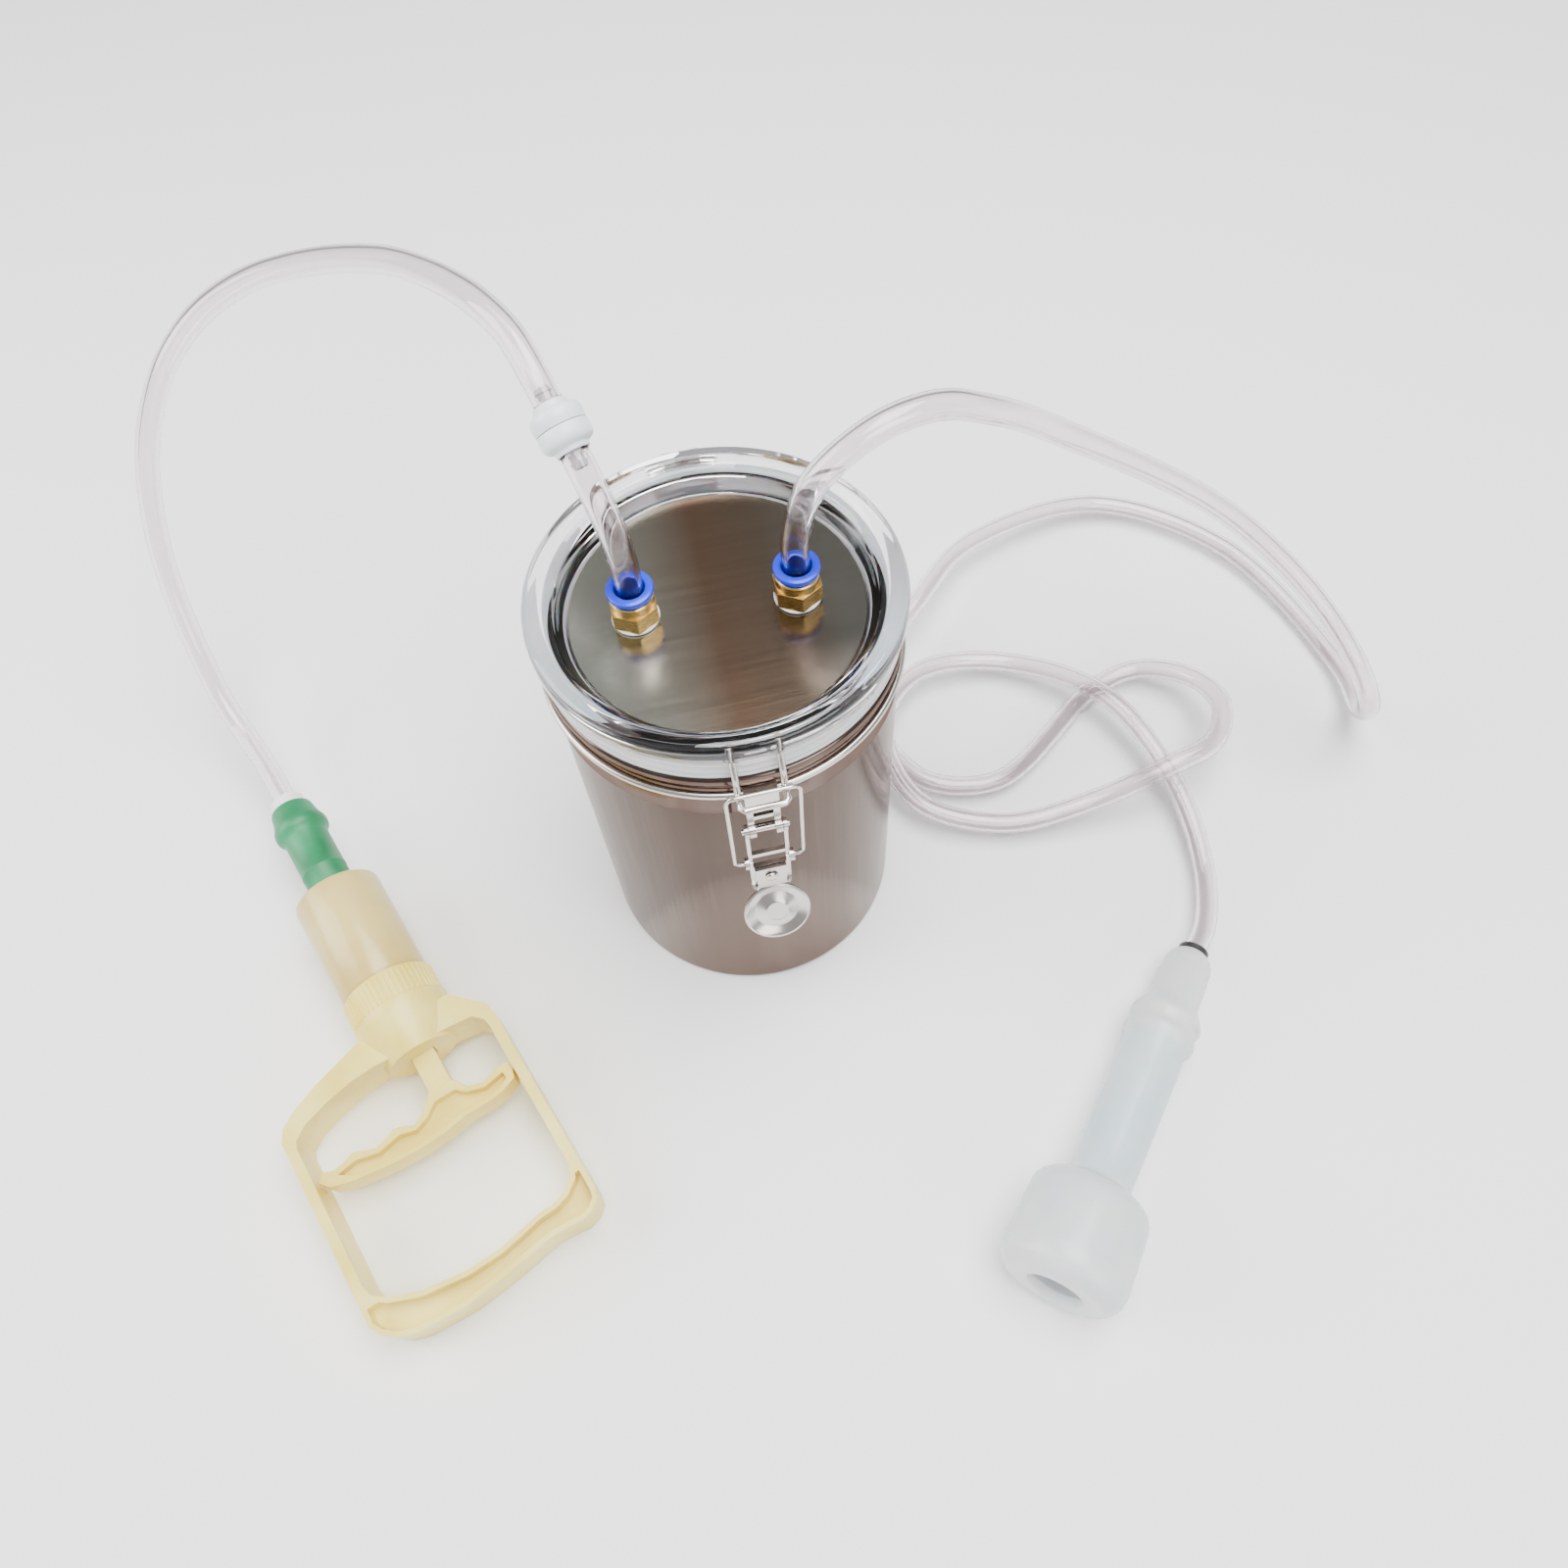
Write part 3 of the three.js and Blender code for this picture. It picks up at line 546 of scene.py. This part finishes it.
# ---------------------------------------------------------------- hand pump
def add_pump():
    turned("pump_cylinder", along([
        (-15, 2.5), (-15, 6), (-14.4, 6.5), (0, 6.5), (0, 17.6), (0.3, 18.6), (0.9, 19.2), (2, 19.6),
        (52.3, 19.4), (53, 19.1), (53.5, 18.8), (71.7, 18.8), (71.7, 16.5), (3.5, 16.5), (3.5, 2.5),
    ]), BEIGE, "root", ("pump_barrel",), PUMP, steps=BARREL_STEPS)
    turned("pump_boot", along([
        (-0.3, 6.8), (-0.3, 9.4), (-0.6, 10), (-1.4, 10.2), (-12.6, 10.2), (-12.9, 10.4), (-13.3, 10.4),
        (-13.6, 10.2), (-33, 10.2), (-34.6, 10.6), (-36, 11.7), (-37, 12.3), (-38.4, 12.5), (-40, 12.5),
        (-41.4, 12.1), (-43, 11.4), (-45.5, 10.7), (-48, 10.2), (-50.4, 9.8), (-51.2, 9.4), (-51.5, 8.8),
        (-51.5, 6.8), (-41.6, 6.8), (-41.6, 4), (-16, 4), (-16, 6.8),
    ]), GREEN, "root", ("pump_connector",), PUMP)
    turned("hose_collar", along([
        (-57, 5.3), (-57, 7), (-56.8, 7.5), (-56.3, 7.7), (-52.2, 7.7), (-51.8, 7.4), (-51.8, 6.5),
        (-42, 6.5), (-42, 5.3),
    ]), WHITE, "root", ("hose_adapter",), PUMP)
    eased("pump_handle", CREAM, "root", edge_mm=1.0, segments=3)
    eased("pump_trigger", CREAM, "pump_trigger", edge_mm=0.8, segments=3)
    eased("pump_piston", WHITE, "pump_trigger", edge_mm=0.3)
    eased("piston_seal", BLACK, "pump_trigger", edge_mm=0.3)
    add_skirt_ribs()


def add_skirt_ribs():
    """The ribbed skirt of the handle's head, which the hand screws onto the barrel."""
    bm = bmesh.new()
    rib_shape = Matrix.Diagonal((*(side * MM for side in RIB_SIZE), 1.0))
    lift = Matrix.Translation(Vector(RIB_CENTRE) * MM)
    for i in range(SKIRT_RIBS):
        rib = bmesh.ops.create_cube(bm, size=1.0)["verts"]
        turn = Matrix.Rotation(math.tau * i / SKIRT_RIBS, 4, "X")
        bmesh.ops.transform(bm, matrix=standing(PUMP) @ turn @ lift @ rib_shape, verts=rib)
    bmesh.ops.bevel(
        bm, geom=bm.edges, offset=0.25 * MM, offset_type="OFFSET", affect="EDGES",
        segments=1, profile=0.5, material=-1, clamp_overlap=True,
    )
    finish_piece("skirt_ribs", bm, CREAM, "root")


# ---------------------------------------------------------------- teat cup
def add_cup():
    turned("cup_body", along([
        (0, 5.3), (0, 6.6), (1, 7.8), (3, 9.2), (4.6, 10), (6.4, 10.4), (12, 10.4), (13, 10.8), (24, 10.8),
        (27, 11.2), (30, 12.4), (33.6, 14.4), (35.6, 15.2), (37, 15.3), (38.4, 14.8), (40, 14.2),
        (41.6, 14.2), (43.4, 15), (45.2, 15.2), (47, 14.8), (48.6, 13.8), (50.6, 13.3), (60, 13.2),
        (100, 12.9), (114, 12.8), (116.6, 13.6), (118.2, 15.4), (119.4, 18), (120.8, 20.6), (122.6, 22.6),
        (124.8, 23.8), (127, 24.3), (138, 24.9), (150, 25.5), (153.4, 25.5), (156.4, 25), (158.8, 24),
        (160.8, 22.4), (162.2, 20.4), (162.9, 18.2), (163, 16), (163, 12.2), (162.7, 11.4), (162, 11),
        (160, 11), (159.1, 11.4), (158.7, 12.4), (158.2, 19), (157.2, 21.4), (155, 22.4), (128, 21.6),
        (125.4, 20), (123, 16), (121.6, 13.2), (120, 12.2), (49.6, 12.2), (49.6, 9), (40, 9), (28, 7.5),
        (24, 5.3),
    ]), SILICONE, "root", ("cup_liner",), CUP, steps=BARREL_STEPS)
    turned("cup_insert", along([(50, 10.4), (50, 11.9), (104, 11.9), (104, 10.4)]),
           WHITE, "root", ("cup_sleeve",), CUP)
    turned("cup_neck_ring", along([
        (-2.9, 5.3), (-2.9, 6.2), (-2.5, 6.6), (-0.7, 6.6), (-0.3, 6.2), (-0.3, 5.3),
    ]), BLACK, "root", ("cup_grommet",), CUP)


add_canister()
add_lid()
add_hinge_and_latch()
add_fittings()
add_valve()
add_pump()
add_cup()


# ---------------------------------------------------------------- floor and light
def add_floor():
    bm = bmesh.new()
    bmesh.ops.create_grid(bm, x_segments=1, y_segments=1, size=6.0)
    material, shader = new_material("pale_floor", Roughness=0.9, Base_Color=srgb("#FBFBFA"))
    mesh = bpy.data.meshes.new("floor")
    bm.to_mesh(mesh)
    bm.free()
    mesh.materials.append(material)
    floor = bpy.data.objects.new("floor", mesh)
    bpy.context.scene.collection.objects.link(floor)


def add_lamp(name, place, aim, size, power):
    lamp = bpy.data.objects.new(name, bpy.data.lights.new(name, "AREA"))
    bpy.context.scene.collection.objects.link(lamp)
    lamp.data.shape = "RECTANGLE"
    lamp.data.size, lamp.data.size_y = size
    lamp.data.energy = power
    lamp.location = place
    lamp.rotation_euler = (Vector(aim) - Vector(place)).to_track_quat("-Z", "Y").to_euler()


def add_light():
    world = bpy.data.worlds.new("studio")
    world.use_nodes = True
    background = world.node_tree.nodes["Background"]
    background.inputs["Color"].default_value = srgb("#F7F7F9")
    background.inputs["Strength"].default_value = 0.55
    bpy.context.scene.world = world
    add_lamp("top_softbox", (0.3, -0.1, 1.7), (0, 0, 0), (1.4, 1.1), 62.0)
    add_lamp("left_softbox", (-1.3, 0.2, 0.9), (0, 0, 0.1), (0.9, 1.2), 26.0)
    add_lamp("front_fill", (0.7, -1.4, 0.8), (0, 0, 0.1), (1.2, 0.7), 12.0)


add_floor()
add_light()
